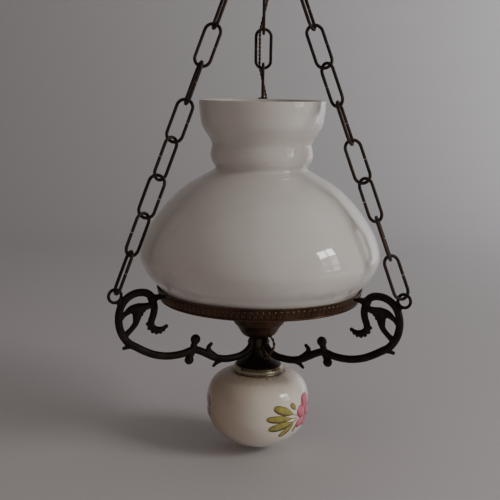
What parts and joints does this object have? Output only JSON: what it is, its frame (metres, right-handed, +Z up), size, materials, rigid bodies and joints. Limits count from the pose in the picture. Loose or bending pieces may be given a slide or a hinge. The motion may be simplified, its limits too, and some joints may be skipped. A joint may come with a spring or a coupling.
{
  "type": "hanging lamp",
  "caption": "Suspension lamp on chains from a ceiling hook: opal glass shade in a stamped gallery, cast scroll arms and a painted ceramic ball.",
  "frame": {"origin": "centre of the ceiling plate's upper face", "axes": "+X to the right seen from the front, +Y away from the front, +Z up; the lamp hangs down along -Z"},
  "size_m": [0.3362, 0.3367, 0.77],
  "materials": {
    "dark_bronze": "dark patina",
    "gallery_bronze": "bronzed, stamped",
    "brass": "worn polish",
    "opal_glass": "opal white, glossy",
    "glazed_ball": "cream glaze with hand-painted flowers",
    "bulb_glass": "white frosted",
    "bakelite": "dark brown",
    "steel": "zinc plated",
    "flex": "brown twin flex"
  },
  "bodies": {
    "ceiling": {"ceiling_plate": "steel", "ceiling_hook": "dark_bronze", "ceiling_canopy": "gallery_bronze", "canopy_nut": "dark_bronze", "terminal_block": "bakelite", "flex_upper": "flex"},
    "hanger": {"hanging_link": "dark_bronze", "flex_middle": "flex"},
    "lamp": {"chain_crown": "dark_bronze", "chain_left_link_1": "dark_bronze", "chain_left_link_2": "dark_bronze", "chain_left_link_3": "dark_bronze", "chain_left_link_4": "dark_bronze", "chain_left_link_5": "dark_bronze", "chain_left_link_6": "dark_bronze", "chain_left_link_7": "dark_bronze", "chain_left_link_8": "dark_bronze", "chain_left_link_9": "dark_bronze", "chain_left_link_10": "dark_bronze", "chain_right_link_1": "dark_bronze", "chain_right_link_2": "dark_bronze", "chain_right_link_3": "dark_bronze", "chain_right_link_4": "dark_bronze", "chain_right_link_5": "dark_bronze", "chain_right_link_6": "dark_bronze", "chain_right_link_7": "dark_bronze", "chain_right_link_8": "dark_bronze", "chain_right_link_9": "dark_bronze", "chain_right_link_10": "dark_bronze", "chain_back_link_1": "dark_bronze", "chain_back_link_2": "dark_bronze", "chain_back_link_3": "dark_bronze", "chain_back_link_4": "dark_bronze", "chain_back_link_5": "dark_bronze", "chain_back_link_6": "dark_bronze", "chain_back_link_7": "dark_bronze", "chain_back_link_8": "dark_bronze", "chain_back_link_9": "dark_bronze", "chain_back_link_10": "dark_bronze", "arm_left": "dark_bronze", "arm_right": "dark_bronze", "arm_back": "dark_bronze", "arm_left_screw": "steel", "arm_right_screw": "steel", "arm_back_screw": "steel", "gallery_ring": "gallery_bronze", "gallery_spider": "gallery_bronze", "cup": "dark_bronze", "column_sleeve": "brass", "cone": "dark_bronze", "collar": "brass", "ceramic_ball": "glazed_ball", "center_rod": "steel", "ball_washer": "steel", "ball_nut": "steel", "lampholder": "bakelite", "flex": "flex"},
    "shade": {"glass_shade": "opal_glass"},
    "bulb": {"bulb": "bulb_glass"}
  },
  "joints": [
    {"name": "hook_swing", "type": "hinge", "parent": "ceiling", "child": "hanger", "pos_m": [0, 0, -0.078], "axis": [1, 0, 0], "range_deg": [-12, 12]},
    {"name": "lamp_swing", "type": "hinge", "parent": "hanger", "child": "lamp", "pos_m": [0, 0, -0.1229], "axis": [0, 1, 0], "range_deg": [-12, 12]},
    {"name": "shade_lift", "type": "slide", "parent": "lamp", "child": "shade", "axis": [0, 0, 1], "range_m": [0, 0.024]},
    {"name": "bulb_unscrew", "type": "slide", "parent": "lamp", "child": "bulb", "axis": [0, 0, 1], "range_m": [0, 0.028]}
  ]
}
